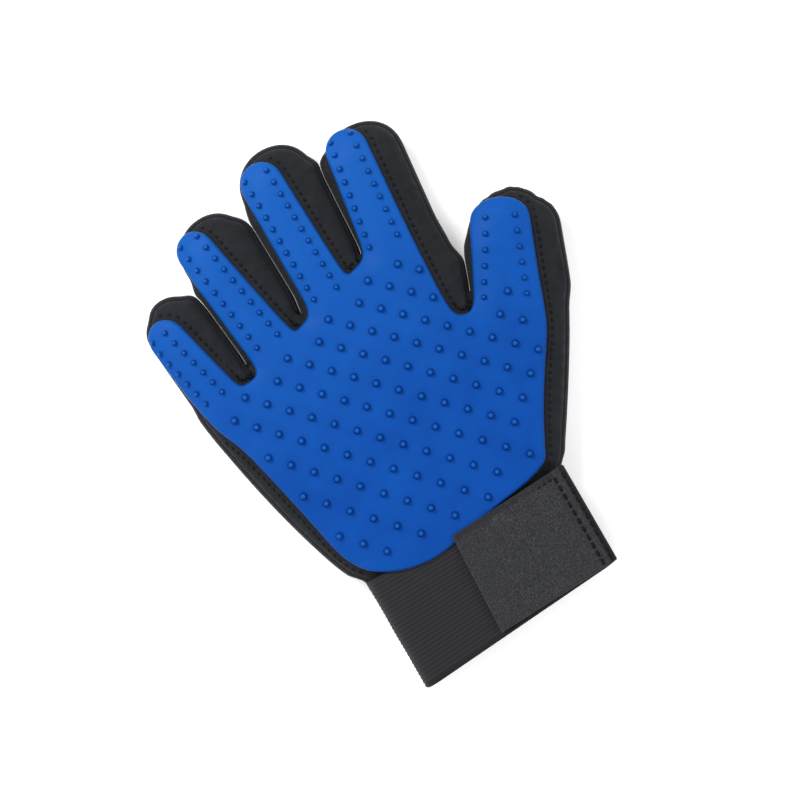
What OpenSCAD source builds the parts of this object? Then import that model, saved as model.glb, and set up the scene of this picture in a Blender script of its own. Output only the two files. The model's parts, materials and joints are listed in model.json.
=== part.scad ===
// Five-finger grooming glove with a nubbed rubber pad, for a right hand.
// The glove lies on its back: +X to the thumb, +Y to the fingertips, +Z out of the palm.

/* [Shell] */
// Height of the fabric shell from its back to the palm side
shell_h = 21; // [18:1:26]
// Thickness of the glove fabric
fabric_t = 1.2; // [0.8:0.1:1.6]
// Clearance between neighbouring solids on different bodies
gap = 0.2; // [0.1:0.05:0.3]

/* [Rubber pad] */
// Thickness of the moulded rubber sheet
pad_t = 1.8; // [1.2:0.1:2.4]
// Height of a palm nub above the sheet
palm_nub_h = 2.6; // [1.5:0.1:3]
// Base radius of a palm nub
palm_nub_r = 1.8; // [1.4:0.1:2.2]
// Height of a finger nub above the sheet
finger_nub_h = 2.2; // [1.5:0.1:2.2]
// Base radius of a finger nub
finger_nub_r = 1.3; // [1:0.1:1.3]
// Distance between nubs in one palm row
nub_pitch = 15.25; // [13:0.05:18]
// Distance between the palm rows
nub_row = 7; // [6:0.1:8]
// Sideways step from one palm row to the next
nub_step = 6.65; // [6:0.05:8]

/* [Cuff] */
// Length of the elastic cuff along the forearm, on the little finger's side
cuff_len = 51; // [45:1:60]
// How much shorter the cuff is on the thumb's side
cuff_slant = 7.2; // [0:0.1:8]
// Wall thickness of the elastic cuff
cuff_t = 2; // [1.5:0.1:3]
// Length of the turned hem at the open edge
hem_len = 5; // [3:0.5:8]

/* [Wrist strap] */
// Thickness of the strap tab
strap_t = 1.5; // [1:0.1:2]
// Thickness of the hook patch and of the loop patch
patch_t = 1; // [0.8:0.1:1.2]
// Length of the strap that peels off
strap_free = 48.2; // [40:0.1:52]
// Length of the strap's sewn end
strap_sewn = 8; // [6:0.5:10]

/* [Hidden] */

rubber = [0.09, 0.37, 0.76];
cloth = [0.16, 0.16, 0.17];
elastic = [0.12, 0.12, 0.13];
felt = [0.27, 0.27, 0.29];
thread = [0.05, 0.05, 0.06];

// A finger: centre of its root, lean from +Y to +X, length, distance to the knuckle crease, width
// at the root and near the tip, length of the rounded end.
LITTLE = [[-70.6, 37], -6, 45.5, 7, 28.5, 27.5, 15];
RING = [[-40.5, 45], -3.5, 59, 8.5, 29.6, 31.8, 16];
MIDDLE = [[-7.2, 55], 1.2, 61, 8.8, 31, 33.4, 16];
INDEX = [[27.4, 57], 5, 49.5, 7.6, 33.5, 34.5, 15];
THUMB = [[60, 10], 24, 43.8, 8, 42, 40, 20];

// A finger's pad strip: left and right edge at the base, left and right edge at the tip, length,
// all in the finger's own frame.
LITTLE_PAD = [-13, 6.2, -13.7, 2.4, 38.5];
RING_PAD = [-13.4, 7.4, -15.6, 1, 56.5];
MIDDLE_PAD = [-14.4, 5.6, -15.4, 3, 57];
INDEX_PAD = [-16.6, 3.9, -14.4, 3.8, 49.3];
THUMB_PAD = [-20, 7.7, -18.8, 6.4, 39.8];
pad_tip_len = 9;

// A strip's nubs: distance between them, how many lie before the knuckle crease, between the
// creases and past the middle crease, and its two rows, each as [across at the root, across at
// the strip's end]. Each crease runs midway between two nubs.
LITTLE_NUBS = [5.62, [2, 3, 2], [[-8.1, -12.3], [0, -5.5]]];
RING_NUBS = [5.81, [2, 4, 4], [[-7.7, -11.6], [2.2, -3.6]]];
MIDDLE_NUBS = [5.66, [3, 4, 4], [[-10.2, -11.8], [0.1, -2]]];
INDEX_NUBS = [5.8, [2, 3, 4], [[-13.4, -10], [-1.3, -0.9]]];
THUMB_NUBS = [6.6, [2, 3, 1], [[-15.8, -10.8], [1.4, -0.4]]];

// Heights of the layers
front_z = shell_h - fabric_t;
pad_z = shell_h + pad_t;
patch_z = shell_h;
hook_z = patch_z + patch_t + gap / 2;
strap_z = hook_z + patch_t;

// Palm of the fabric shell: the two sides as smooth curves, and the wrist line
wrist_y = -64;
LITTLE_SIDE = [[-85.2, 30], [-83.8, 20], [-81.6, 8], [-78.6, -7], [-74.8, -23], [-70.6, -38],
               [-66, -52], [-60.5, wrist_y]];
THUMB_SIDE = [[38.5, wrist_y], [43.7, -55], [49, -47], [58, -33], [67.8, -17], [74.5, -5]];
WEB_SIDE = [[40.2, 20], [42, 26], [43.4, 34], [44, 44]];

// Pad on the palm: the edge from the thumb round the wrist to the little finger
PAD_EDGE = [[64.8, 0], [60.4, -10], [50.6, -25], [41.5, -40], [35, -52], [30.5, -57.5], [10, -62.5],
            [-18, -68], [-28, -69], [-38, -68], [-48, -64.3], [-56.3, -58], [-61.6, -48], [-65.1, -32],
            [-70, -10], [-75, 10], [-80.5, 24]];
// Rounded notches of the pad between two fingers
NOTCH_LITTLE_RING = [[-63, 34.6], [-60, 33.4], [-53.4, 36]];
NOTCH_RING_MIDDLE = [[-31.8, 42.8], [-29.3, 42.7], [-22.2, 46.6]];
NOTCH_MIDDLE_INDEX = [[-0.8, 52.4], [2.2, 52.2], [9.3, 55.4]];
NOTCH_INDEX_THUMB = [[30.5, 42], [29.8, 18], [34, 13], [39, 14.5]];

// The palm's nubs: the first one, the fall of a row along its length, how the rows bow, as [across,
// along] per row squared, per nub squared and per row times nub, and how many rows and nubs to try
nub_start = [-56.5, 21.7];
row_fall = 0.8;
ROW_BOW = [[0.026, -0.025], [-0.062, 0.061], [0.0375, 0.0555]];
NUB_SPAN = [[-8, 14], [-6, 9]];
// Least distance between the edge of a palm nub and the pad's edge, between the centres of a palm
// nub and a finger nub, and between a palm nub and the wrist line
edge_clear = 1.3;
nub_clear = 7;
wrist_clear = 5;

cuff_left = -58.5;
cuff_right = 38;
cuff_y = wrist_y - cuff_len;
cuff_end = [cuff_y, cuff_y + cuff_slant];
strap_edge = cuff_right - strap_sewn;
strap_end = strap_edge - strap_free;
// The strap's edges towards the fingers and towards the forearm, each as [y at the thumb side,
// slope], and how far the free end leans
STRAP_TOP = [-61.8, 0.05];
STRAP_LOW = [cuff_y + 7.4, 0.044];
strap_lean = 2.1;
// The two patches under the strap: their ends towards the thumb, measured from the sewn end, and
// how far each stays inside the strap's other edges
loop_inset = 2;
hook_inset = 18;
patch_margin = 2;
// Stitches of the sewn end: distance of the two rows from its edge, pitch and length
STITCH_ROWS = [2, 6];
strap_stitch = [3.6, 2.4];

// Point at (across, along) in a finger's frame
function on_finger(f, u, v) =
    f[0] + [u * cos(f[1]) + v * sin(f[1]), v * cos(f[1]) - u * sin(f[1])];

// Catmull-Rom curve through a list of points, steps pieces to each span
function smooth(p, steps = 3) = let (n = len(p)) [
    for (i = [0 : n - 2], s = [0 : steps - 1])
        let (a = p[max(i - 1, 0)], b = p[i], c = p[i + 1], d = p[min(i + 2, n - 1)], t = s / steps)
        (2 * b + (c - a) * t + (2 * a - 5 * b + 4 * c - d) * t * t
            + (3 * b - a - 3 * c + d) * t * t * t) / 2,
    p[n - 1]
];

// Half of an ellipse over a strip's end, from its left edge to its right edge
function tip_arc(left, right, top, rise, steps = 10) = [
    for (i = [0 : steps])
        let (a = 180 - 180 * i / steps)
        [(left + right) / 2 + (right - left) / 2 * cos(a), top - rise + rise * sin(a)]
];

// True if point q is inside polygon p
function inside(q, p, i = 0, odd = false) =
    i == len(p) ? odd :
    let (a = p[i], b = p[(i + 1) % len(p)],
         crosses = (a[1] > q[1]) != (b[1] > q[1])
             && q[0] < (b[0] - a[0]) * (q[1] - a[1]) / (b[1] - a[1]) + a[0])
    inside(q, p, i + 1, crosses ? !odd : odd);

// Distance from point q to the segment from a to b
function to_segment(q, a, b) =
    let (ab = b - a, t = min(1, max(0, (q - a) * ab / (ab * ab)))) norm(q - a - t * ab);

// Distance from point q to the nearest edge of polygon p
function to_edge(q, p) = min([for (i = [0 : len(p) - 1]) to_segment(q, p[i], p[(i + 1) % len(p)])]);

function finger_outline(f) = concat(
    [[-f[4] / 2, 0]], tip_arc(-f[5] / 2, f[5] / 2, f[2], f[6]), [[f[4] / 2, 0]]);

function pad_outline(p) = concat(
    [[p[0], 0]], tip_arc(p[2], p[3], p[4], pad_tip_len), [[p[1], 0]]);

// Half of a finger's width at a distance from its root
function half_width(f, v) = (f[4] + (f[5] - f[4]) * v / (f[2] - f[6])) / 2;

// Distance from a finger's root to its middle crease
function middle_crease(f, n) = f[3] + n[0] * n[1][1];

// Centres of a finger's nubs, in its own frame: part is 0 before the knuckle crease, 1 between the
// creases, 2 past the middle crease
function nub_places(f, p, n, part) =
    let (first = part == 0 ? -n[1][0] : part == 1 ? 0 : n[1][1])
    [for (row = n[2], k = [first : first + n[1][part] - 1])
        let (v = f[3] + n[0] * (k + 0.5)) [row[0] + (row[1] - row[0]) * v / p[4], v]];

// A side of a finger from its root to its knuckle crease, less the clearance: side is -1 for the
// left and 1 for the right
function root_side(f, side) = let (v = f[3] - gap)
    [on_finger(f, side * f[4] / 2, 0), on_finger(f, side * half_width(f, v), v)];
function reversed(p) = [for (i = [len(p) - 1 : -1 : 0]) p[i]];

// End of the palm pad's edge at a finger's knuckle crease: side is 0 for the left, 1 for the right
function pad_end(f, p, side) = let (v = f[3] - gap)
    on_finger(f, p[side] + (p[side + 2] - p[side]) * v / p[4], v);

// Edge of the fabric between two neighbouring fingers, from one knuckle crease to the next
function between(f, g) = concat(reversed(root_side(g, -1)), root_side(f, 1));

PALM_OUTLINE = concat(
    reversed(root_side(LITTLE, -1)), smooth(LITTLE_SIDE), smooth(THUMB_SIDE), root_side(THUMB, 1),
    reversed(root_side(THUMB, -1)), WEB_SIDE, root_side(INDEX, 1),
    between(MIDDLE, INDEX), between(RING, MIDDLE), between(LITTLE, RING));

PALM_PAD_OUTLINE = concat(
    smooth(concat([pad_end(THUMB, THUMB_PAD, 1)], PAD_EDGE, [pad_end(LITTLE, LITTLE_PAD, 0)])),
    smooth(concat([pad_end(LITTLE, LITTLE_PAD, 1)], NOTCH_LITTLE_RING, [pad_end(RING, RING_PAD, 0)])),
    smooth(concat([pad_end(RING, RING_PAD, 1)], NOTCH_RING_MIDDLE, [pad_end(MIDDLE, MIDDLE_PAD, 0)])),
    smooth(concat([pad_end(MIDDLE, MIDDLE_PAD, 1)], NOTCH_MIDDLE_INDEX, [pad_end(INDEX, INDEX_PAD, 0)])),
    smooth(concat([pad_end(INDEX, INDEX_PAD, 1)], NOTCH_INDEX_THUMB, [pad_end(THUMB, THUMB_PAD, 0)])));

// Places a child in a finger's frame
module in_finger(f) {
    translate([f[0][0], f[0][1], 0]) rotate(-f[1]) children();
}

// The stretch of a finger from v0 to v1, wider than any finger
module stretch(v0, v1) {
    translate([-30, v0]) square([60, v1 - v0]);
}

// A soft nub: an eight-sided cone without its point
module nub(r, h) {
    root = 0.4;
    translate([0, 0, pad_z - root]) cylinder(h = h + root, r1 = r, r2 = r * 0.55, $fn = 8);
}

// Rubber sheet of one finger segment from v0 to v1, with its nubs
module finger_pad(f, p, v0, v1, places) {
    color(rubber) in_finger(f) {
        translate([0, 0, shell_h]) linear_extrude(pad_t) intersection() {
            polygon(pad_outline(p));
            stretch(v0, v1);
        }
        for (place = places) translate(place) nub(finger_nub_r, finger_nub_h);
    }
}

// Palm-side or back panel of one finger segment, its underside at height z
module finger_panel(f, v0, v1, z) {
    color(cloth) in_finger(f) translate([0, 0, z]) linear_extrude(fabric_t) intersection() {
        polygon(finger_outline(f));
        stretch(v0, v1);
    }
}

// Strip that runs round the sides of one finger segment, and round the fingertip
module finger_sides(f, v0, v1) {
    color(cloth) in_finger(f) translate([0, 0, fabric_t]) linear_extrude(front_z - fabric_t)
        intersection() {
            difference() {
                polygon(finger_outline(f));
                offset(delta = -fabric_t) polygon(concat(
                    [[-f[4] / 2, -fabric_t * 2]], finger_outline(f), [[f[4] / 2, -fabric_t * 2]]));
            }
            stretch(v0, v1);
        }
}

// One finger's nodes: which is the node's name without the finger's
module finger(f, p, n, which) {
    base = [f[3] + gap, middle_crease(f, n) - gap];
    tip = [middle_crease(f, n) + gap, f[2]];
    if (which == "base_pad") finger_pad(f, p, base[0], base[1], nub_places(f, p, n, 1));
    if (which == "tip_pad") finger_pad(f, p, tip[0], tip[1], nub_places(f, p, n, 2));
    if (which == "base_front") finger_panel(f, base[0], base[1], front_z);
    if (which == "tip_front") finger_panel(f, tip[0], tip[1], front_z);
    if (which == "base_back") finger_panel(f, base[0], base[1], 0);
    if (which == "tip_back") finger_panel(f, tip[0], tip[1], 0);
    if (which == "base_sides") finger_sides(f, base[0], base[1]);
    if (which == "tip_sides") finger_sides(f, tip[0], tip[1]);
}

// Nubs of the five rows' ends that lie on the palm
ROOT_NUBS = [
    for (one = [[LITTLE, LITTLE_PAD, LITTLE_NUBS], [RING, RING_PAD, RING_NUBS],
                [MIDDLE, MIDDLE_PAD, MIDDLE_NUBS], [INDEX, INDEX_PAD, INDEX_NUBS],
                [THUMB, THUMB_PAD, THUMB_NUBS]])
        for (place = nub_places(one[0], one[1], one[2], 0)) on_finger(one[0], place[0], place[1])
];

// Place of nub k in row j of the palm
function palm_nub(j, k) =
    nub_start + j * [nub_step, -nub_row] + k * [nub_pitch, -row_fall]
        + j * j * ROW_BOW[0] + k * k * ROW_BOW[1] + j * k * ROW_BOW[2];

module palm_pad() {
    color(rubber) {
        translate([0, 0, shell_h]) linear_extrude(pad_t) polygon(PALM_PAD_OUTLINE);
        for (place = ROOT_NUBS) translate(place) nub(finger_nub_r, finger_nub_h);
        for (j = [NUB_SPAN[0][0] : NUB_SPAN[0][1]], k = [NUB_SPAN[1][0] : NUB_SPAN[1][1]]) {
            place = palm_nub(j, k);
            if (place[1] > wrist_y + wrist_clear && inside(place, PALM_PAD_OUTLINE)
                    && to_edge(place, PALM_PAD_OUTLINE) > palm_nub_r + edge_clear
                    && min([for (other = ROOT_NUBS) norm(place - other)]) > nub_clear)
                translate(place) nub(palm_nub_r, palm_nub_h);
        }
    }
}

module palm_front_panel() {
    color(cloth) translate([0, 0, front_z]) linear_extrude(fabric_t) polygon(PALM_OUTLINE);
}

module palm_back_panel() {
    color(cloth) linear_extrude(fabric_t) polygon(PALM_OUTLINE);
}

// Upright strip of fabric that follows a line of points
module strip(points) {
    color(cloth) translate([0, 0, fabric_t]) linear_extrude(front_z - fabric_t) intersection() {
        polygon(PALM_OUTLINE);
        for (i = [0 : len(points) - 2]) hull() {
            translate(points[i]) circle(fabric_t, $fn = 12);
            translate(points[i + 1]) circle(fabric_t, $fn = 12);
        }
    }
}

module little_side_gusset() {
    strip(concat(reversed(root_side(LITTLE, -1)), smooth(LITTLE_SIDE)));
}

module thumb_side_gusset() {
    strip(concat(smooth(THUMB_SIDE), root_side(THUMB, 1)));
}

module thumb_web_gusset() {
    strip(concat(reversed(root_side(THUMB, -1)), WEB_SIDE, root_side(INDEX, 1)));
}

module web_little_ring() {
    strip(between(LITTLE, RING));
}

module web_ring_middle() {
    strip(between(RING, MIDDLE));
}

module web_middle_index() {
    strip(between(MIDDLE, INDEX));
}

// Places every step along a line of points, each as [point, direction in degrees]
function walk(p, step, i = 0, start = 0) =
    i >= len(p) - 1 ? [] :
    let (ab = p[i + 1] - p[i], length = norm(ab),
         count = start > length ? 0 : floor((length - start) / step) + 1)
    concat(
        [for (k = [0 : 1 : count - 1]) [p[i] + ab * (start + k * step) / length, atan2(ab[1], ab[0])]],
        walk(p, step, i + 1, start + count * step - length));

// One visible stitch, lying along +X
module stitch(length) {
    translate([-length / 2, -0.35, 0]) cube([length, 0.7, 0.35]);
}

// Row of stitches that holds the pad to the front panel, just outside the pad's edge
module palm_stitching() {
    beside_pad = 2.6;
    color(thread) for (place = walk(smooth(PAD_EDGE), 4.5)) {
        side = place[0] + beside_pad * [-sin(place[1]), cos(place[1])];
        if (side[1] > wrist_y + 2 && inside(side, PALM_OUTLINE) && to_edge(side, PALM_OUTLINE) > 1)
            translate([side[0], side[1], shell_h]) rotate(place[1]) stitch(2.8);
    }
}

// Rounded rectangle round the wrist, inset by a distance from the cuff's outside
module wrist_section(inset) {
    corner = 7;
    offset(r = corner - inset, $fn = 32)
        translate([cuff_left + corner, corner])
            square([cuff_right - cuff_left - 2 * corner, shell_h - 2 * corner]);
}

// Band round the wrist between two insets, from one line across the forearm to another, each as
// [y on the little finger's side, y on the thumb's side]
module wrist_band(start, end, outer, inner) {
    spare = 1;
    intersection() {
        translate([0, max(start), 0]) rotate([90, 0, 0]) linear_extrude(max(start) - min(end))
            difference() {
                wrist_section(outer);
                wrist_section(inner);
            }
        translate([0, 0, -spare]) linear_extrude(shell_h + 2 * spare) polygon([
            [cuff_left, start[0]], [cuff_left, end[0]], [cuff_right, end[1]], [cuff_right, start[1]]]);
    }
}

module elastic_cuff() {
    color(elastic) wrist_band([wrist_y, wrist_y], cuff_end, 0, cuff_t);
}

// Hem of the cuff, turned to the inside at the open edge
module cuff_hem() {
    color(elastic) wrist_band(cuff_end + [hem_len, hem_len], cuff_end, cuff_t, cuff_t + fabric_t);
}

// Height of one of the strap's edges at a place across the wrist
function edge_at(edge, x) = edge[0] + edge[1] * (x - cuff_right);

// Patch with the strap's slanted edges, from x[0] to x[1] and from height z, inset from the lower
// and upper edge by a margin and leaning at its free end
module patch(x, z, thickness, margin = [0, 0], lean = 0) {
    translate([0, 0, z]) linear_extrude(thickness) polygon([
        [x[0] - lean / 2, edge_at(STRAP_LOW, x[0]) + margin[0]],
        [x[1], edge_at(STRAP_LOW, x[1]) + margin[0]],
        [x[1], edge_at(STRAP_TOP, x[1]) - margin[1]],
        [x[0] + lean / 2, edge_at(STRAP_TOP, x[0]) - margin[1]]]);
}

// The loop patch is sewn to the cuff, and the strap covers it
module loop_patch() {
    color(felt) patch([strap_end + patch_margin, strap_edge - loop_inset], patch_z, patch_t,
        [patch_margin, 4 * patch_margin], strap_lean);
}

// The hook patch is sewn under the strap's free end
module hook_patch() {
    color(elastic) patch([strap_end + patch_margin, strap_edge - hook_inset], hook_z, patch_t,
        [patch_margin, 4 * patch_margin], strap_lean);
}

module strap_tab() {
    color(felt) patch([strap_end, strap_edge - gap], strap_z, strap_t, lean = strap_lean);
}

// End of the strap, folded under itself and sewn to the cuff
module strap_sewn_end() {
    color(felt) patch([strap_edge, cuff_right], shell_h, strap_z + strap_t - shell_h);
}

module strap_stitching() {
    color(thread) translate([0, 0, strap_z + strap_t]) for (x = STITCH_ROWS) {
        low = edge_at(STRAP_LOW, strap_edge + x) + patch_margin;
        high = edge_at(STRAP_TOP, strap_edge + x) - patch_margin;
        for (y = [low : strap_stitch[0] : high])
            translate([strap_edge + x, y, 0]) rotate(90) stitch(strap_stitch[1]);
    }
}

palm_pad();
palm_front_panel();
palm_back_panel();
little_side_gusset();
thumb_side_gusset();
thumb_web_gusset();
web_little_ring();
web_ring_middle();
web_middle_index();
palm_stitching();
elastic_cuff();
cuff_hem();
loop_patch();
strap_sewn_end();
strap_stitching();
strap_tab();
hook_patch();
for (which = [
    "base_pad", "base_front", "base_back", "base_sides", "tip_pad", "tip_front", "tip_back", "tip_sides"
]) {
    finger(LITTLE, LITTLE_PAD, LITTLE_NUBS, which);
    finger(RING, RING_PAD, RING_NUBS, which);
    finger(MIDDLE, MIDDLE_PAD, MIDDLE_NUBS, which);
    finger(INDEX, INDEX_PAD, INDEX_NUBS, which);
    finger(THUMB, THUMB_PAD, THUMB_NUBS, which);
}
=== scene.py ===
"""Looks of a five-finger grooming glove with a nubbed rubber pad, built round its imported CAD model."""

import json
import math

import bpy
import numpy as np
from mathutils import Matrix, Vector, geometry, noise


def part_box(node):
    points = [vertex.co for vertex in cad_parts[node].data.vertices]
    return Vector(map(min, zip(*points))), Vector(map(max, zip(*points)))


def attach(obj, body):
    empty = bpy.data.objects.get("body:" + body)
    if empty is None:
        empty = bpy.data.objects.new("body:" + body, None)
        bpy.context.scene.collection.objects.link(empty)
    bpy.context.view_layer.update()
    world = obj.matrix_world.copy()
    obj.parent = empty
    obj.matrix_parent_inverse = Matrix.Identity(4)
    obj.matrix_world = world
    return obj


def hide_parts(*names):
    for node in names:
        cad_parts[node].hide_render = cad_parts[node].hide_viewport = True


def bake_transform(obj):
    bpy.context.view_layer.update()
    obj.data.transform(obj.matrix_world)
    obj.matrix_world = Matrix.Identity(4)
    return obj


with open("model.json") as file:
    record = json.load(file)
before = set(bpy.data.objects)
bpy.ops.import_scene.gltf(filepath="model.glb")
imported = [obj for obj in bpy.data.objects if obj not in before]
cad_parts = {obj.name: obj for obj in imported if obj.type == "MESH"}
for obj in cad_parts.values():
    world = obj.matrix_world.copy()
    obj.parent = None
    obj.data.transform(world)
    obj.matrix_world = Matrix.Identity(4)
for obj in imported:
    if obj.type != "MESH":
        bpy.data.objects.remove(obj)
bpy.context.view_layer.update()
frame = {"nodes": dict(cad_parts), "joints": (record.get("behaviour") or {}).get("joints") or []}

# Shapes are worked out in millimetres, and become metres in each mesh.
MM = 0.001
FINGERS = ("little", "ring", "middle", "index", "thumb")
JOINTS = {joint["name"]: joint for joint in frame["joints"]}


def box(node):
    """Lowest and highest corner of a CAD node, in millimetres."""
    low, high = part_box(node)
    return np.array(low) / MM, np.array(high) / MM


SHELL_TOP = box("palm_front_panel")[1][2]
PAD_T = JOINTS["little_knuckle"]["pos_m"][2] / MM - SHELL_TOP
SEAM_Z = SHELL_TOP / 2

# Fabric shell: how far its rounded sides reach inwards and how full they are, the seam round them, and
# the spacing of its points
EDGE_REACH = 13.0
EDGE_POWER = 2.2
SEAM_IN = 1.65
SEAM_DEEP = 0.55
SEAM_WIDE = 0.32
FABRIC_T = 0.9
OUTLINE_STEP = 1.5
FINE_STEP = 0.5
RING_SPACING = 0.84
SHELL_RINGS = (0, 0.25, 0.8, 1.3, SEAM_IN, 2.0, 2.8, 4.2, 6.0, 8.2, 10.6, 12.8)
SHELL_GRID = 2.3
# Slots between fingers: they start to close below the wide width and are closed at the narrow one,
# where a small gap is left, and no point of the outline moves further than the push
SLOT_WIDE = 8.0
SLOT_NARROW = 4.6
SLOT_LEFT = 0.12
SLOT_PUSH = 2.4
SLOT_SOFTEN = 8
# The longest loop, in points, that is cut off where the pushed outline crosses itself
LOOP_POINTS = 48
# How much fuller the outline is everywhere, and at the thumb's root; how the thumb's end puckers
FULLNESS = 0.22
THUMB_SWELL = 2.6
THUMB_SWELL_AT = 11.0
THUMB_SWELL_LEN = 7.0
PUCKER = 0.8
PUCKER_SIZE = 3.0
PUCKER_LEN = 9.0
# How far past a fingertip's CAD outline its shell may reach
TIP_SPARE = 3.0
# Where the shell's sewn corners are fuller or slimmer than its smooth outline: (x, y, reach, push)
CORNERS = ((85.7, 41.5, 4.5, -1.5), (-82.5, 76.5, 4.0, -1.2), (-33.9, 100.9, 8.0, 0.6),
           (5.5, 110.3, 8.0, 0.6), (43.5, 100.5, 9.0, 0.5))
# Where the pad's heel runs out under the strap: (x, y, reach, push)
HEEL = (22.0, -61.5, 11.0, 0.9)
# How far each fingertip drops towards its end, and over what length
TIP_DROOP = 3.2
TIP_DROOP_LEN = 24.0
# Lengthwise folds at the finger roots, and how uneven the free fabric is
FOLD_DEPTH = 0.4
FOLD_PITCH = 3.1
UNEVEN = 0.3
UNEVEN_FINE = 0.14
# How far the shell runs on inside the cuff
TUCK = 4.0

# The shell is settled as cloth at ten times its size, for at most CLOTH_REACH millimetres
CLOTH_SCALE = 0.01
CLOTH_FRAMES = 20
CLOTH_SPARE = 0.035
CLOTH_PRESSURE = 4.0
CLOTH_STIFFNESS = 20
CLOTH_BENDING = 0.3
CLOTH_REACH = 1.3

# Rubber pad: its rounded edge, and the profile of a nub as (share of radius, share of height)
PAD_RINGS = (0, 0.08, 0.35, 0.8, 1.5)
PAD_ROUND = 1.4
PAD_GRID = 2.2
NUB_PROFILE = ((1.16, 0), (1.02, 0.06), (0.9, 0.26), (0.75, 0.6), (0.58, 0.85), (0.38, 0.97), (0.18, 1))
NUB_SIDES = 12
# A CAD nub's flat top as a share of its radius, and the furthest that two points of one top lie apart
NUB_TOP_SHARE = 0.55
NUB_TOP_WIDE = 2.6
# How much slimmer a nub is than the CAD's, the least room from its foot to the pad's outline, and the
# rim that is kept outside it where it can move inwards
NUB_SLIM = 0.96
NUB_EDGE_ROOM = 0.1
NUB_RIM = 0.7
# The mask on a nub's sides, which paints shade there, and the share of its height from which its mask makes
# it paler
NUB_SHADE = 0.5
NUB_PALE_FROM = 0.9
# How stiffly the rubber sheet hangs over the shell's sides
PAD_DRAPE = 2.2
NUB_ANGLES = np.arange(NUB_SIDES) * 2 * math.pi / NUB_SIDES
NUB_CIRCLE = np.stack([np.cos(NUB_ANGLES), np.sin(NUB_ANGLES)], axis=1)
# The sheet's points start a little above the fabric, and its underside lies a little below
PAD_LIFT = 0.1
PAD_SUNK = 0.25

# Stitches: points of each capsule, and the pad's row as its distance outside the pad, pitch and size
STITCH_SIDES = 8
STITCH_STATIONS = 7
ROW_OUT = 2.4
ROW_PITCH = 3.1
ROW_STITCH = (2.1, 0.5)

# Cuff and strap: the ribs, how far the cuff runs past its CAD end, the x of the strap's two stitch lines,
# its hem, and how the edge of a flat band is rounded
RIB_PITCH = 1.85
CUFF_OVERHANG = 0.5
STITCH_X = 32.0
STITCH_OUT_X = 36.0
STRAP_HEM = 3.0
BAND_EDGE = np.array([0, 0.12, 0.35, 0.7])
BAND_ROUND = 0.7

# Hook tape: the thickness of its base, the radius and pitch of its hooks, and their sides
HOOK_BASE = 0.45
HOOK_RADIUS = 0.13
HOOK_PITCH = 1.5
HOOK_SIDES = 5

# Camera: the width of its view, the middle of it, and the height it looks at
VIEW_SPAN = 336.0
VIEW_MIDDLE = (-7.54, -4.57)
VIEW_LEVEL = 17.0

# How far on each side of a crease the cuts between pieces stay back from it, and how far beyond that a
# piece may end
BEND = 6.0
CUT_MARGIN = 2.0


# ---------------------------------------------------------------- outlines from the CAD model


def face_outline(node, top):
    """Outline, anticlockwise, of the node's flat face at its top or at its lowest height."""
    mesh = frame["nodes"][node].data
    points = np.array([v.co for v in mesh.vertices]) / MM
    level = points[:, 2].max() if top else points[:, 2].min()
    keys = [tuple(np.round(p, 2)) for p in points]
    following = {}
    sides = set()
    for face in mesh.polygons:
        corners = list(face.vertices)
        if all(abs(points[c][2] - level) < 0.02 for c in corners):
            for a, b in zip(corners, corners[1:] + corners[:1]):
                sides.add((keys[a], keys[b]))
    for a, b in sides:
        if (b, a) not in sides:
            following[a] = b
    start = next(iter(sorted(following)))
    loop = [start]
    while following[loop[-1]] != start:
        loop.append(following[loop[-1]])
    loop = np.array(loop)[:, :2]
    x, y = loop.T
    area = np.sum(x * np.roll(y, -1) - y * np.roll(x, -1))
    return loop if area > 0 else loop[::-1]


def finger_frame(name):
    """Where a finger is: its knuckle, the directions across and along it, its middle crease and end."""
    knuckle = JOINTS[name + "_knuckle"]
    across = np.array(knuckle["axis"][:2])
    along = np.array([-across[1], across[0]])
    origin = np.array(knuckle["pos_m"][:2]) / MM
    middle = np.array(JOINTS[name + "_middle_crease"]["pos_m"][:2]) / MM
    tip = face_outline(name + "_tip_front", True)
    return {
        "name": name,
        "origin": origin,
        "across": across,
        "along": along,
        "middle": (middle - origin) @ along,
        "cut": max((middle - origin) @ along - BEND - CUT_MARGIN, (middle - origin) @ along / 2),
        "end": ((tip - origin) @ along).max(),
        "half": np.abs((tip - origin) @ across).max(),
    }


FRAMES = [finger_frame(name) for name in FINGERS]


def in_finger(points, finger):
    """Points as distances across and along a finger, from its knuckle."""
    local = points[:, :2] - finger["origin"]
    return local @ finger["across"], local @ finger["along"]


def with_fingers(loop, node, top):
    """The palm's outline carried on round every finger."""
    loop = list(loop)
    for finger in FRAMES:
        u, v = in_finger(np.array(loop), finger)
        n = len(loop)
        i = next(
            i
            for i in range(n)
            if abs(v[i]) < 0.6 and abs(v[(i + 1) % n]) < 0.6 and u[i] > u[(i + 1) % n]
            and abs(u[i]) < finger["half"] + 3 and abs(u[(i + 1) % n]) < finger["half"] + 3
        )
        tip = face_outline(finger["name"] + node, top)
        tu, tv = in_finger(tip, finger)
        low = np.where(tv < tv.min() + 0.05)[0]
        right = low[np.argmax(tu[low])]
        tip = np.roll(tip, -right, axis=0)
        loop[i + 1:i + 1] = list(tip)
    return np.array(loop)


def resample(line, step, closed):
    """The line as evenly spaced points."""
    points = np.vstack([line, line[:1]]) if closed else line
    lengths = np.linalg.norm(np.diff(points, axis=0), axis=1)
    points = points[np.concatenate([[True], lengths > 1e-6])]
    lengths = lengths[lengths > 1e-6]
    along = np.concatenate([[0], np.cumsum(lengths)])
    count = int(round(along[-1] / step))
    places = np.linspace(0, along[-1], count + 1)
    even = np.stack([np.interp(places, along, points[:, k]) for k in (0, 1)], axis=1)
    return even[:-1] if closed else even


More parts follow.
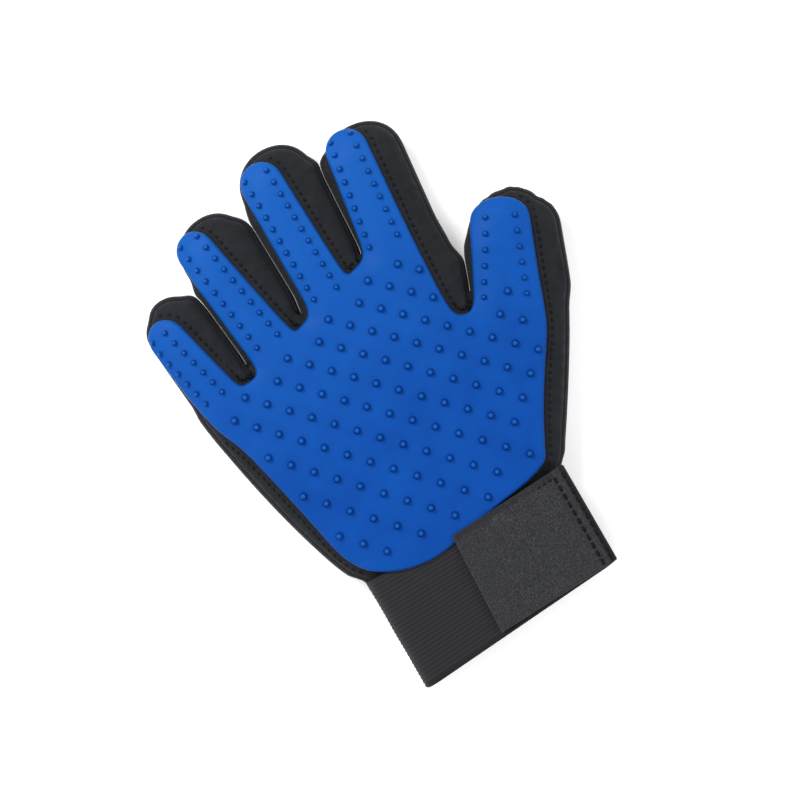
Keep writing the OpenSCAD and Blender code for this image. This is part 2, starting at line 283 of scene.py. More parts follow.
def soften(line, rounds, closed):
    """Rounds the corners of an evenly spaced line."""
    for _ in range(rounds):
        smooth = 0.25 * np.roll(line, 1, axis=0) + 0.5 * line + 0.25 * np.roll(line, -1, axis=0)
        if not closed:
            smooth[0], smooth[-1] = line[0], line[-1]
        line = smooth
    return line


def left_normals(line, closed):
    """Unit normals to the left of each point of a line."""
    if closed:
        ahead = np.roll(line, -1, axis=0) - np.roll(line, 1, axis=0)
    else:
        ahead = np.gradient(line, axis=0)
    normal = np.stack([-ahead[:, 1], ahead[:, 0]], axis=1)
    return normal / np.linalg.norm(normal, axis=1)[:, None]


def distance(points, line):
    """Distance from each point to a line of points."""
    best = np.full(len(points), 1e9)
    for a, b in zip(line[:-1], line[1:]):
        ab = b - a
        t = np.clip(((points - a) @ ab) / (ab @ ab), 0, 1)
        best = np.minimum(best, np.sum((points - a - t[:, None] * ab) ** 2, axis=1))
    return np.sqrt(best)


def inside(points, loop):
    """Which points lie inside a closed outline."""
    odd = np.zeros(len(points), bool)
    x, y = points.T
    for a, b in zip(loop, np.roll(loop, -1, axis=0)):
        if a[1] != b[1]:
            crosses = (a[1] > y) != (b[1] > y)
            odd ^= crosses & (x < (b[0] - a[0]) * (y - a[1]) / (b[1] - a[1]) + a[0])
    return odd


def shell_sides():
    """The shell's outline without its wrist line, from the wrist's thumb side round to its other side."""
    loop = with_fingers(face_outline("palm_front_panel", True), "_tip_front", True)
    wrist = loop[:, 1].min() + 0.05
    low = np.where(loop[:, 1] < wrist)[0]
    first = low[np.argmax(loop[low, 0])]
    loop = np.roll(loop, -first, axis=0)
    last = np.where(loop[:, 1] < wrist)[0]
    last = last[np.argmin(loop[last, 0])]
    return soften(resample(loop[:last + 1], OUTLINE_STEP, False), 2, False)


def smoothstep(x, low, high):
    """0 below low, 1 above high, and smooth between."""
    t = np.clip((x - low) / (high - low), 0, 1)
    return t * t * (3 - 2 * t)


def hump(x, at, width):
    """A smooth bump: 1 at a place, and nearly 0 two widths away."""
    return np.exp(-((x - at) / width) ** 2)


def growth(measure, points, step):
    """How fast a measure grows at each point, along x and along y."""
    ways = ([step, 0], [0, step])
    return np.stack([measure(points + way) - measure(points - way) for way in ways], axis=1) / (2 * step)


def ripple(points, size, seed):
    """Smooth noise at each point, about -1 to 1, with features of that size."""
    return np.array([noise.noise(Vector((p[0] / size, p[1] / size, seed))) for p in points])


def slot_width(line, outward):
    """Distance from each point of an outline to the part of it that it faces."""
    found = np.full(len(line), 99.0)
    for i, point in enumerate(line):
        away = line - point
        far = np.linalg.norm(away, axis=1)
        facing = (far > 0) & (away @ outward[i] > 0.7 * far)
        if facing.any():
            found[i] = far[facing].min()
    return found


def without_loops(line):
    """The outline with each small loop, where it crosses itself, cut off at the crossing."""
    while True:
        first = None
        for gap in range(2, min(LOOP_POINTS, len(line) - 2)):
            a, b = line[:-1 - gap], line[1:-gap]
            c, d = line[gap:-1], line[gap + 1:]
            one, other, between = b - a, d - c, c - a
            turn = one[:, 0] * other[:, 1] - one[:, 1] * other[:, 0]
            turn[np.abs(turn) < 1e-12] = 1e-12
            s = (between[:, 0] * other[:, 1] - between[:, 1] * other[:, 0]) / turn
            t = (between[:, 0] * one[:, 1] - between[:, 1] * one[:, 0]) / turn
            hit = np.where((s > 0) & (s < 1) & (t > 0) & (t < 1))[0]
            if len(hit):
                i = hit[0]
                first = (i, i + gap, a[i] + one[i] * s[i])
        if first is None:
            return line
        line = np.vstack([line[:first[0] + 1], first[2][None, :], line[first[1] + 1:]])


def touch(line, x, y, reach, push):
    """How far to push each point of an outline near a place."""
    return push * np.exp(-np.sum((line - [x, y]) ** 2, axis=1) / reach ** 2)


def close_slots(line):
    """Swells neighbouring fingers towards each other where the slot between them is narrow, and the
    thumb's root towards the index finger; puckers the seam at the thumb's end."""
    line = resample(line, FINE_STEP, False)
    outward = -left_normals(line, False)
    thumb = FRAMES[FINGERS.index("thumb")]
    u, v = in_finger(line, thumb)
    root = (u < 0) & (u > -thumb["half"] - 3)
    push = np.maximum(FULLNESS, root * THUMB_SWELL * hump(v, THUMB_SWELL_AT, THUMB_SWELL_LEN))
    slot = slot_width(line, outward)
    limit = np.clip((slot - SLOT_LEFT) / 2, 0, SLOT_PUSH)
    push = np.maximum(push, limit * np.clip((SLOT_WIDE - slot) / (SLOT_WIDE - SLOT_NARROW), 0, 1))
    push = np.minimum(soften(push[:, None], SLOT_SOFTEN, False)[:, 0], limit)
    end = (np.abs(u) < thumb["half"]) & (v > thumb["end"] - PUCKER_LEN) & (v < thumb["end"] + TIP_SPARE)
    push += end * PUCKER * ripple(line, PUCKER_SIZE, 8.8)
    for corner in CORNERS:
        push += touch(line, *corner)
    line = without_loops(line + outward * push[:, None])
    return without_loops(resample(line, OUTLINE_STEP, False))


SIDES = close_slots(shell_sides())
WRIST_Y = SIDES[0][1]
LONG_SIDES = np.vstack([SIDES[0] - [0, 40], SIDES, SIDES[-1] - [0, 40]])
PAD_LOOP = soften(
    resample(with_fingers(face_outline("palm_pad", False), "_tip_pad", False), 1.2, True), 2, True)
PAD_LOOP = PAD_LOOP - left_normals(PAD_LOOP, True) * touch(PAD_LOOP, *HEEL)[:, None]
PAD_EDGE = np.vstack([PAD_LOOP, PAD_LOOP[:1]])


# ---------------------------------------------------------------- the shell's surface


def nearest_finger(points):
    """Number of the finger that each point belongs to, or -1 on the palm."""
    found = np.full(len(points), -1)
    best = np.full(len(points), 1e9)
    for i, finger in enumerate(FRAMES):
        u, v = in_finger(points, finger)
        share = np.abs(u) / finger["half"]
        mine = (v > -BEND - CUT_MARGIN) & (v < finger["end"] + TIP_SPARE) & (share < 1.15) & (share < best)
        found[mine] = i
        best[mine] = share[mine]
    return found


def edge_rise(d):
    """Height of a rounded side, 0 to 1, at a distance inside the outline."""
    t = np.clip(d / EDGE_REACH, 0, 1)
    return (1 - (1 - t) ** EDGE_POWER) ** (1 / EDGE_POWER)


def front_height(points, d=None, drape=0.0):
    """Height of the shell's palm side, before wrinkles; drape is how stiffly a sheet on it hangs over
    its sides."""
    if d is None:
        d = distance(points, LONG_SIDES)
    d = np.hypot(d, drape)
    droop = np.zeros(len(points))
    for finger in FRAMES:
        u, v = in_finger(points, finger)
        near = np.abs(u) < finger["half"] + 2
        down = TIP_DROOP * np.clip((v - finger["end"] + TIP_DROOP_LEN) / TIP_DROOP_LEN, 0, 1.1) ** 2
        droop = np.where(near & (v < finger["end"] + TIP_SPARE), np.maximum(droop, down), droop)
    swell = 0.35 * ripple(points, 27, 3.1) - 0.2
    return SEAM_Z + (SHELL_TOP - SEAM_Z - droop + swell) * edge_rise(d)


def tilt(points, drape=0.0):
    """Normals of the palm side's smooth surface."""
    step = 0.4
    rise = [front_height(points + way, None, drape) - front_height(points - way, None, drape)
            for way in ([step, 0], [0, step])]
    normal = np.stack([-rise[0], -rise[1], np.full(len(points), 2 * step)], axis=1)
    return normal / np.linalg.norm(normal, axis=1)[:, None]


def hex_grid(low, high, step):
    """Points of an even triangular grid."""
    rows = np.arange(low[1], high[1], step * math.sqrt(3) / 2)
    grid = []
    for i, y in enumerate(rows):
        x = np.arange(low[0] + (i % 2) * step / 2, high[0], step)
        grid.append(np.stack([x, np.full(len(x), y)], axis=1))
    return np.vstack(grid)


def triangulate(points, edges):
    """Triangles between the points, inside the edges, all anticlockwise."""
    made = geometry.delaunay_2d_cdt([Vector(p) for p in points], edges, [], 1, 1e-7)
    coords, faces, origin = made[0], made[2], made[3]
    if len(coords) != len(points):
        bad = [tuple(round(x, 2) for x in c) for c, ids in zip(coords, origin) if len(ids) != 1]
        raise RuntimeError(f"points of the sheet coincide or its edges cross at {bad[:6]}")
    back = [ids[0] for ids in origin]
    found = []
    for face in faces:
        a, b, c = (back[i] for i in face)
        p, q, r = points[a], points[b], points[c]
        turn = (q[0] - p[0]) * (r[1] - p[1]) - (q[1] - p[1]) * (r[0] - p[0])
        found.append((a, b, c) if turn > 0 else (a, c, b))
    return np.array(found)


def inner_rings(line, rings, closed, measure):
    """Points at each ring's distance inside the line."""
    normals = left_normals(line, closed)
    places = []
    for ring in rings:
        points = line + normals * ring
        real = measure(points)
        spaced = []
        for i in np.where(np.abs(real - ring) < 0.03 + 0.02 * ring)[0]:
            if not spaced or np.linalg.norm(points[i] - points[spaced[-1]]) > RING_SPACING:
                spaced.append(i)
        places.append(points[spaced])
    return np.vstack(places)


def thin_out(points, fixed, gap):
    """The points that are further than a gap from every fixed point."""
    cells = {}
    for p in fixed:
        cells.setdefault((int(p[0] // gap), int(p[1] // gap)), []).append(p)
    kept = []
    for p in points:
        i, j = int(p[0] // gap), int(p[1] // gap)
        near = [q for a in (-1, 0, 1) for b in (-1, 0, 1) for q in cells.get((i + a, j + b), [])]
        if all((p[0] - q[0]) ** 2 + (p[1] - q[1]) ** 2 > gap * gap for q in near):
            kept.append(p)
    return np.array(kept)


# ---------------------------------------------------------------- making pieces


def vertex_normals(points, faces):
    """Smooth normals of a sheet."""
    normals = np.zeros_like(points)
    faces = np.array(faces)
    a, b, c = points[faces[:, 0]], points[faces[:, 1]], points[faces[:, 2]]
    cross = np.cross(b - a, c - a)
    for k in range(faces.shape[1]):
        np.add.at(normals, faces[:, k], cross)
    length = np.linalg.norm(normals, axis=1)
    length[length < 1e-12] = 1
    return normals / length[:, None]


def on_points(mesh, name, values):
    """Stores a vector or a number for each point of a mesh, for the materials to read."""
    kind, field = ("FLOAT_VECTOR", "vector") if values.ndim == 2 else ("FLOAT", "value")
    layer = mesh.attributes.new(name, kind, "POINT")
    layer.data.foreach_set(field, values.astype(np.float32).ravel())


def add_object(name, coords, faces, material):
    """A smooth mesh from points in millimetres, which it also keeps as its rest coordinates."""
    coords = np.array(coords) * MM
    mesh = bpy.data.meshes.new(name)
    mesh.from_pydata([tuple(p) for p in coords], [], faces)
    mesh.shade_smooth()
    on_points(mesh, "rest", coords)
    mesh.materials.append(material)
    thing = bpy.data.objects.new(name, mesh)
    bpy.context.scene.collection.objects.link(thing)
    return thing


def make_piece(name, faces, outer, inner, normals, weave, mask, material):
    """A closed piece made from some faces of a sheet: its outer side, its inner side and a rim.
    Points whose outer and inner place are the same are joined."""
    used = np.unique(np.concatenate([np.array(f) for f in faces]))
    number = {int(v): k for k, v in enumerate(used)}
    joined = np.linalg.norm(outer[used] - inner[used], axis=1) < 1e-6
    under, coords, signs, source = {}, list(outer[used]), [1] * len(used), list(used)
    for k, v in enumerate(used):
        if joined[k]:
            under[k] = k
        else:
            under[k] = len(coords)
            coords.append(inner[v])
            signs.append(-1)
            source.append(v)
    top = [tuple(number[int(v)] for v in f) for f in faces]
    sides = set()
    for f in top:
        sides.update(zip(f, f[1:] + f[:1]))
    made = list(top)
    made += [tuple(under[v] for v in reversed(f)) for f in top]
    for a, b in sorted(sides):
        if (b, a) not in sides:
            rim = [b, a]
            rim += [v for v in (under[a], under[b]) if v not in (a, b)]
            if len(rim) > 2:
                made.append(tuple(rim))
    thing = add_object(name, coords, made, material)
    on_points(thing.data, "weave", weave[source] * MM)
    on_points(thing.data, "mask", mask[source])
    facing = normals[source] * np.array(signs)[:, None]
    thing.data.normals_split_custom_set_from_vertices([tuple(n) for n in facing])
    return thing


def bend_at(thing):
    """Bakes a finger piece's placement into its mesh; it is not bent about a crease nor put on a body."""
    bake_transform(thing)


def follow(thing, part):
    """Attaches a palm piece to the palm's body, and only bakes the placement of a finger's base or tip
    piece: part is palm, base or tip.
    """
    if part == "palm":
        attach(thing, "palm")
        return
    if part == "base":
        bend_at(thing)
    else:
        bend_at(thing)


def segments(centres):
    """Which part of the glove each place belongs to: -1 for the palm, or 2 for each finger and 1 more
    for its tip."""
    finger = nearest_finger(centres)
    part = np.full(len(centres), -1)
    for i, one in enumerate(FRAMES):
        v = in_finger(centres, one)[1]
        mine = finger == i
        part[mine] = 2 * i
        part[mine & (v > one["cut"])] = 2 * i + 1
    return part


def segment_name(number):
    """A segment's finger, its part (palm, base or tip), and the name that its pieces start with."""
    if number < 0:
        return None, "palm", "palm"
    finger, part = FRAMES[number // 2], ("base", "tip")[number % 2]
    return finger, part, finger["name"] + "_" + part


# ---------------------------------------------------------------- materials


class Look:
    """A material and its nodes."""

    def __init__(self, name, base, roughness, sheen=0.0, specular=0.5):
        self.material = bpy.data.materials.new(name)
        self.material.use_nodes = True
        self.tree = self.material.node_tree
        self.shader = self.tree.nodes["Principled BSDF"]
        self.shader.inputs["Base Color"].default_value = (*base, 1)
        self.shader.inputs["Roughness"].default_value = roughness
        self.shader.inputs["Sheen Weight"].default_value = sheen
        self.shader.inputs["Sheen Roughness"].default_value = 0.5
        self.shader.inputs["Specular IOR Level"].default_value = specular

    def node(self, kind, settings=(), **inputs):
        """A new node. Its inputs are named, or i0, i1 and so on by number, and take a value or a link."""
        made = self.tree.nodes.new(kind)
        for key, value in dict(settings).items():
            setattr(made, key, value)
        for key, value in inputs.items():
            socket = made.inputs[int(key[1:])] if key[0] == "i" and key[1:].isdigit() else made.inputs[key]
            if isinstance(value, bpy.types.NodeSocket):
                self.tree.links.new(value, socket)
            else:
                socket.default_value = value
        return made

    def place(self, attribute, scale=(1, 1, 1), turn=(0, 0, 0)):
        """A piece's own rest coordinates, so that a pattern stays fixed to it wherever it is moved."""
        here = self.node("ShaderNodeAttribute", {"attribute_name": attribute})
        return self.node(
            "ShaderNodeMapping", Vector=here.outputs["Vector"], Scale=scale, Rotation=turn
        ).outputs["Vector"]

    def mask(self):
        return self.node("ShaderNodeAttribute", {"attribute_name": "mask"}).outputs["Fac"]

    def noise(self, where, scale, detail=3.0, roughness=0.55):
        return self.node(
            "ShaderNodeTexNoise", Vector=where, Scale=scale, Detail=detail, Roughness=roughness
        ).outputs["Fac"]

    def waves(self, where, period_mm, direction, distortion):
        """Evenly spaced ridges across a direction."""
        return self.node(
            "ShaderNodeTexWave",
            {"wave_type": "BANDS", "bands_direction": direction, "wave_profile": "SIN"},
            Vector=where,
            Scale=2 * math.pi / (20 * period_mm * MM),
            Distortion=distortion,
        ).outputs["Fac"]

    def math(self, operation, a, b):
        return self.node("ShaderNodeMath", {"operation": operation}, i0=a, i1=b).outputs[0]

    def ramp(self, value, stops):
        made = self.node("ShaderNodeValToRGB", Fac=value)
        ramp = made.color_ramp
        while len(ramp.elements) < len(stops):
            ramp.elements.new(0.5)
        for element, (position, colour) in zip(ramp.elements, stops):
            element.position = position
            element.color = (*colour, 1)
        return made.outputs["Color"]

    def mix(self, share, a, b, blend="MIX"):
        made = self.node("ShaderNodeMix", {"data_type": "RGBA", "blend_type": blend}, i0=share)
        for socket, value in ((made.inputs[6], a), (made.inputs[7], b)):
            if isinstance(value, bpy.types.NodeSocket):
                self.tree.links.new(value, socket)
            else:
                socket.default_value = (*value, 1)
        return made.outputs[2]

    def colour(self, socket):
        self.tree.links.new(socket, self.shader.inputs["Base Color"])

    def scaled(self, value, given, wanted):
        """The value moved from one range to another."""
        made = self.node("ShaderNodeMapRange", Value=value)
        for name, number in zip(("From Min", "From Max", "To Min", "To Max"), (*given, *wanted)):
            made.inputs[name].default_value = number
        return made.outputs[0]

    def rough(self, value, low, high):
        self.tree.links.new(self.scaled(value, (0, 1), (low, high)), self.shader.inputs["Roughness"])

    def bump(self, height, depth_mm, strength=1.0, below=None):
        made = self.node("ShaderNodeBump", Height=height, Strength=strength)
        made.inputs["Distance"].default_value = depth_mm * MM
        if below is not None:
            self.tree.links.new(below, made.inputs["Normal"])
        return made.outputs["Normal"]

    def relief(self, normal):
        self.tree.links.new(normal, self.shader.inputs["Normal"])


def rubber_look():
    """Moulded blue rubber: satin, with a fine grain, painted light towards the fingertips, painted shade on
    the nub sides, paler nub tops and a painted highlight along the rim; the nub tops and rim are glossier.
    """
    look = Look("blue_rubber", (0.001, 0.06, 0.34), 0.38, specular=0.1)
    where = look.place("rest")
    cloudy = look.noise(where, 55, 4)
    grain = look.noise(where, 2600, 2)
    body = look.ramp(cloudy, [(0.3, (0.0004, 0.055, 0.315)), (0.7, (0.001, 0.069, 0.36))])
    along = look.node("ShaderNodeSeparateXYZ", Vector=where).outputs["Y"]
    # Painted light: the rubber turns paler along y towards the fingertips, where more light falls.
    painted_tip_light = look.scaled(along, (-0.02, 0.1), (0, 0.5))
    body = look.mix(painted_tip_light, body, (0.008, 0.12, 0.46))
    # Painted shade: darker where the mask is set, on the nubs' sides and under the paler rim and nub tops.
    body = look.mix(look.scaled(look.mask(), (0, 0.5), (0, 0.45)), body, (0.0008, 0.034, 0.2))
    # Painted highlight along the pad's rounded rim, where the mask is 1; the nub tops, with a mask near
    # 0.8, are paler too.
    look.colour(look.mix(look.scaled(look.mask(), (0.5, 1), (0, 0.6)), body, (0.02, 0.17, 0.56)))
    look.rough(look.math("MULTIPLY", look.mask(), look.noise(where, 400, 3)), 0.55, 0.1)
    look.relief(look.bump(grain, 0.05, 0.35, look.bump(cloudy, 0.3, 0.2)))
    return look.material


def cloth_look(name, pale, dark, knit_mm, depth_mm):
    """Black knitted fabric with a fine grain, slightly mottled."""
    look = Look(name, pale, 0.85, sheen=0.06, specular=0.18)
    weave = look.place("weave")
    wales = look.waves(weave, knit_mm, "X", 0.6)
    courses = look.waves(weave, knit_mm * 0.8, "Y", 0.6)
    knit = look.math("MULTIPLY", wales, courses)
    fuzz = look.noise(look.place("rest"), 1500, 4, 0.7)
    mottle = look.noise(look.place("rest"), 150, 4)
    lint = look.ramp(fuzz, [(0.6, (0, 0, 0)), (0.8, (0.06, 0.063, 0.07))])
    shade = look.ramp(mottle, [(0.25, (0.72, 0.72, 0.72)), (0.75, (1.2, 1.2, 1.2))])
    knitted = look.mix(look.math("MULTIPLY", knit, 0.6), dark, pale)
    look.colour(look.mix(0.5, look.mix(1.0, knitted, shade, "MULTIPLY"), lint, "ADD"))
    look.rough(fuzz, 0.75, 0.95)
    look.relief(look.bump(knit, depth_mm, 0.7, look.bump(fuzz, 0.12, 0.4)))
    return look.material


def elastic_look():
    """Ribbed elastic with fine threads across each rib, with painted light on the rib crests and painted
    shade in the grooves and along the open edge.
    """
    look = Look("elastic", (0.018, 0.018, 0.022), 0.75, sheen=0.05, specular=0.22)
    weave = look.place("weave")
    threads = look.waves(weave, 0.75, "X", 0.8)
    fuzz = look.noise(look.place("rest"), 1700, 3)
    # Painted light and shade: paler where the mask is high on the rib crests, darker in the grooves and
    # along the cuff's open edge.
    painted_rib_shading = look.mix(look.mask(), (0.009, 0.009, 0.011), (0.0225, 0.0225, 0.027))
    look.colour(look.mix(look.math("MULTIPLY", threads, 0.35), painted_rib_shading, (0.009, 0.009, 0.011)))
    look.rough(fuzz, 0.6, 0.85)
    look.relief(look.bump(threads, 0.12, 0.6, look.bump(fuzz, 0.1, 0.3)))
    return look.material


def felt_look():
    """Charcoal brushed loop felt with a diagonal grain and pale fibres, darkened where its mask is set,
    which paints shade at the strap's fold.
    """
    look = Look("felt", (0.034, 0.034, 0.039), 0.95, sheen=0.12, specular=0.15)
    slant = look.place("rest", (1, 0.3, 1), (0, 0, math.radians(-38)))
    fibres = look.noise(slant, 4200, 2, 0.7)
    tufts = look.noise(look.place("rest"), 900, 4, 0.7)
    patches = look.noise(look.place("rest"), 120, 3)
    body = look.ramp(fibres, [(0.32, (0.012, 0.012, 0.014)), (0.52, (0.032, 0.033, 0.038)),
                              (0.7, (0.1, 0.102, 0.113))])
    shade = look.mix(look.math("MULTIPLY", patches, 0.5), body, (0.02, 0.02, 0.024))
    # The mask darkens the felt: painted shade where the strap turns round its fold, a darker band along its
    # hem and a darker sewn line on the loop patch.
    look.colour(look.mix(look.math("MULTIPLY", look.mask(), 0.75), shade, (0.006, 0.006, 0.007)))
    look.rough(tufts, 0.85, 1.0)
    look.relief(look.bump(fibres, 0.25, 0.8, look.bump(tufts, 0.3, 0.6)))
    return look.material


def thread_look():
    """Twisted black sewing thread."""
    look = Look("thread", (0.004, 0.004, 0.005), 0.6, specular=0.15)
    where = look.place("rest")
    twist = look.waves(where, 0.35, "DIAGONAL", 0.5)
    look.colour(look.mix(twist, (0.002, 0.002, 0.002), (0.009, 0.009, 0.01)))
    look.rough(look.noise(where, 900), 0.45, 0.75)
    look.relief(look.bump(twist, 0.08, 0.6))
    return look.material


def hook_look():
    """Black moulded hook tape."""
    look = Look("hook_plastic", (0.02, 0.02, 0.022), 0.45, specular=0.45)
    where = look.place("rest")
    mould = look.noise(where, 700, 3)
    look.colour(look.ramp(mould, [(0.3, (0.012, 0.012, 0.014)), (0.7, (0.028, 0.028, 0.031))]))
    look.rough(mould, 0.38, 0.6)
    look.relief(look.bump(mould, 0.08, 0.3))
    return look.material


RUBBER = rubber_look()
CLOTH = cloth_look("black_fabric", (0.024, 0.026, 0.033), (0.011, 0.012, 0.015), 0.85, 0.14)
BACK_CLOTH = cloth_look("black_mesh_fabric", (0.026, 0.027, 0.033), (0.005, 0.005, 0.006), 1.7, 0.35)
ELASTIC = elastic_look()
FELT = felt_look()
THREAD = thread_look()
HOOK = hook_look()


# ---------------------------------------------------------------- fabric shell


def wrinkles(points, d, pad_gap):
    """Small folds of the fabric: lengthwise ones between the fingers, and an uneven surface elsewhere."""
    folds = np.zeros(len(points))
    for finger in FRAMES:
        u, v = in_finger(points, finger)
        near = (v > -14) & (v < 20) & (np.abs(u) < finger["half"] + 1)
        depth = hump(v, -1, 10) * smoothstep(np.abs(u), finger["half"] - 11, finger["half"] - 6)
        wave = np.cos(u * 2 * math.pi / FOLD_PITCH + 0.06 * v)
        folds += np.where(near, FOLD_DEPTH * depth * wave, 0)
    uneven = UNEVEN * ripple(points, 9, 7.7) + UNEVEN_FINE * ripple(points, 4, 1.3)
    free = smoothstep(pad_gap, 0.6, 3.0)
    return (folds + uneven) * free * smoothstep(d, 1.0, 4.0)


def tucked(points3):
    """The shell's wrist end drawn in, so that it goes inside the cuff."""
    x, y, z = points3.T
    draw = smoothstep(-y, -WRIST_Y - 7, -WRIST_Y - 0.5)
    centre = (SIDES[0][0] + SIDES[-1][0]) / 2
    half = (SIDES[0][0] - SIDES[-1][0]) / 2
    x = centre + (x - centre) * (1 - draw * 2.0 / half)
    z = SEAM_Z + (z - SEAM_Z) * (1 - draw * 0.2)
    return np.stack([x, y, z], axis=1)


def settled(points, faces, reach):
    """The shell's surface after a cloth simulation: blown up as by a hand, with some cloth to spare
    for folds. No point moves further than its reach, and those with none are held."""
    scene = bpy.context.scene
    mesh = bpy.data.meshes.new("settling")
    mesh.from_pydata([tuple(p * CLOTH_SCALE) for p in points], [], faces.tolist())
    thing = bpy.data.objects.new("settling", mesh)
    scene.collection.objects.link(thing)
    held = thing.vertex_groups.new(name="held")
    held.add([int(i) for i in np.where(reach < 0.02)[0]], 1.0, "REPLACE")
    cloth = thing.modifiers.new("cloth", "CLOTH")
    cloth.settings.vertex_group_mass = "held"
    cloth.settings.effector_weights.gravity = 0
    cloth.settings.use_pressure = True
    cloth.settings.uniform_pressure_force = CLOTH_PRESSURE
    cloth.settings.shrink_min = -CLOTH_SPARE
    cloth.settings.tension_stiffness = CLOTH_STIFFNESS
    cloth.settings.compression_stiffness = CLOTH_STIFFNESS
    cloth.settings.bending_stiffness = CLOTH_BENDING
    cloth.point_cache.frame_end = CLOTH_FRAMES
    for number in range(1, CLOTH_FRAMES + 1):
        scene.frame_set(number)
    result = thing.evaluated_get(bpy.context.evaluated_depsgraph_get()).data
    moved = np.empty(len(points) * 3)
    result.vertices.foreach_get("co", moved)
    moved = moved.reshape(-1, 3) / CLOTH_SCALE - points
    bpy.data.objects.remove(thing)
    bpy.data.meshes.remove(mesh)
    scene.frame_set(1)
    far = np.maximum(np.linalg.norm(moved, axis=1), 1e-9)
    moved *= (reach * np.tanh(far / np.maximum(reach, 1e-6)) / far)[:, None]
    return points + moved


def shell_sheet():
    """The shell's points in plan with their distance from the outline, and its triangles in plan."""
    end = WRIST_Y - TUCK
    tuck = np.array([[0, TUCK], [0, TUCK / 2]])
    line = np.vstack([SIDES[0] - tuck, SIDES, SIDES[-1] - tuck[::-1]])
    rings = inner_rings(line, SHELL_RINGS[1:], False, lambda p: distance(p, LONG_SIDES))
    rings = rings[rings[:, 1] > end + 0.4]
    grid = hex_grid(line.min(0), line.max(0), SHELL_GRID)
    grid = grid[inside(grid, line)]
    deep = distance(grid, LONG_SIDES)
    grid = grid[deep > SHELL_RINGS[-1] + SHELL_GRID * 0.6]
    grid = grid[grid[:, 1] > end + SHELL_GRID * 0.6]
    count = int((line[0][0] - line[-1][0]) / SHELL_GRID)
    across = np.linspace(line[-1][0], line[0][0], count + 1)[1:-1]
    wrist = np.stack([across, np.full(len(across), end)], axis=1)
    wrist = wrist[distance(wrist, LONG_SIDES) > 0.2]
    fixed = np.vstack([line, wrist])
    rings = rings[inside(rings, line)]
    middle = thin_out(grid, rings, SHELL_GRID * 0.55)
    points = np.vstack([fixed, rings, middle])
    n = len(line)
    edges = [(i, i + 1) for i in range(n - 1)]
    closing = [n - 1] + list(range(n, n + len(wrist))) + [0]
    edges += list(zip(closing[:-1], closing[1:]))
    d = distance(points, LONG_SIDES)
    d[:n] = 0
    return points, d, triangulate(points, edges), n


def shell_surface(plan, d, inward, seam, faces):
    """The shell's outer points: those of its palm side, then those of its back."""
    pad_gap = distance(plan, PAD_EDGE)
    pad_gap[inside(plan, PAD_LOOP)] = 0
    top = front_height(plan, d) + wrinkles(plan, d, pad_gap)
    rise = edge_rise(d)
    bottom = SEAM_Z * (1 - rise) + 0.25 * rise * (1 + ripple(plan, 11, 5.5))
    drawn_in = plan + inward * (seam * SEAM_DEEP)[:, None]
    upper = np.column_stack([drawn_in, top - seam * SEAM_DEEP])
    lower = np.column_stack([drawn_in, bottom + seam * SEAM_DEEP])
    outer = tucked(np.vstack([upper, lower]))
    free = smoothstep(d, SEAM_IN + 0.4, 6.0) * smoothstep(plan[:, 1], WRIST_Y + 5, WRIST_Y + 16)
    reach = CLOTH_REACH * np.concatenate([free * smoothstep(pad_gap, 3.0, 6.0), free])
    outer = settled(outer, faces, reach)
    outer[:, 2] = np.maximum(outer[:, 2], 0)
    return outer


def unrolled(plan, d, inward):
    """The shell's points laid flat, so that the knit keeps its size over the rounded sides."""
    slope = np.arcsin(np.clip(edge_rise(d), 0, 1))
    unroll = (math.pi / 2 - slope) * (EDGE_REACH * 0.55) - np.clip(EDGE_REACH * 0.45 - d, 0, 99)
    flat = plan - inward * np.clip(unroll, 0, 99)[:, None]
    level = np.zeros(len(plan))
    return np.vstack([np.column_stack([flat, level]), np.column_stack([-flat, level])])


def build_shell():
    """Front, back and side pieces of every segment of the fabric shell."""
    plan, d, triangles, border = shell_sheet()
    n = len(plan)
    inward = growth(lambda points: distance(points, LONG_SIDES), plan, 0.3)
    inward /= np.maximum(np.linalg.norm(inward, axis=1), 0.3)[:, None]
    seam = hump(d, SEAM_IN, SEAM_WIDE)
    below = np.where(np.arange(n) < border, np.arange(n), np.arange(n) + n)
    faces = np.vstack([triangles, below[triangles[:, ::-1]]])
    outer = shell_surface(plan, d, inward, seam, faces)
    normals = vertex_normals(outer, faces)
    inner = outer - normals * FABRIC_T
    weave = unrolled(plan, d, inward)
    mask = np.tile(seam, 2)
    part = segments(plan[triangles].mean(1))
    inside_seam = d[triangles].min(1) > SEAM_IN - 0.02
    for number in sorted(set(part)):
        finger, where, stem = segment_name(number)
        panel = triangles[(part == number) & inside_seam]
        rim = triangles[(part == number) & ~inside_seam]
        around = np.vstack([rim, below[rim[:, ::-1]]])
        for kind, chosen, material in (("front", panel, CLOTH), ("back", below[panel[:, ::-1]], BACK_CLOTH),
                                       ("sides", around, CLOTH)):
            thing = make_piece(stem + "_" + kind + "_fabric", chosen.tolist(), outer, inner, normals, weave,
                               mask, material)
            follow(thing, where)
            if finger is not None:
                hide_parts(stem + "_" + kind)
            elif kind == "sides":
                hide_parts("little_side_gusset", "thumb_side_gusset", "thumb_web_gusset",
                            "web_little_ring", "web_ring_middle", "web_middle_index")
            else:
                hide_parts("palm_" + kind + "_panel")


# ---------------------------------------------------------------- rubber pad


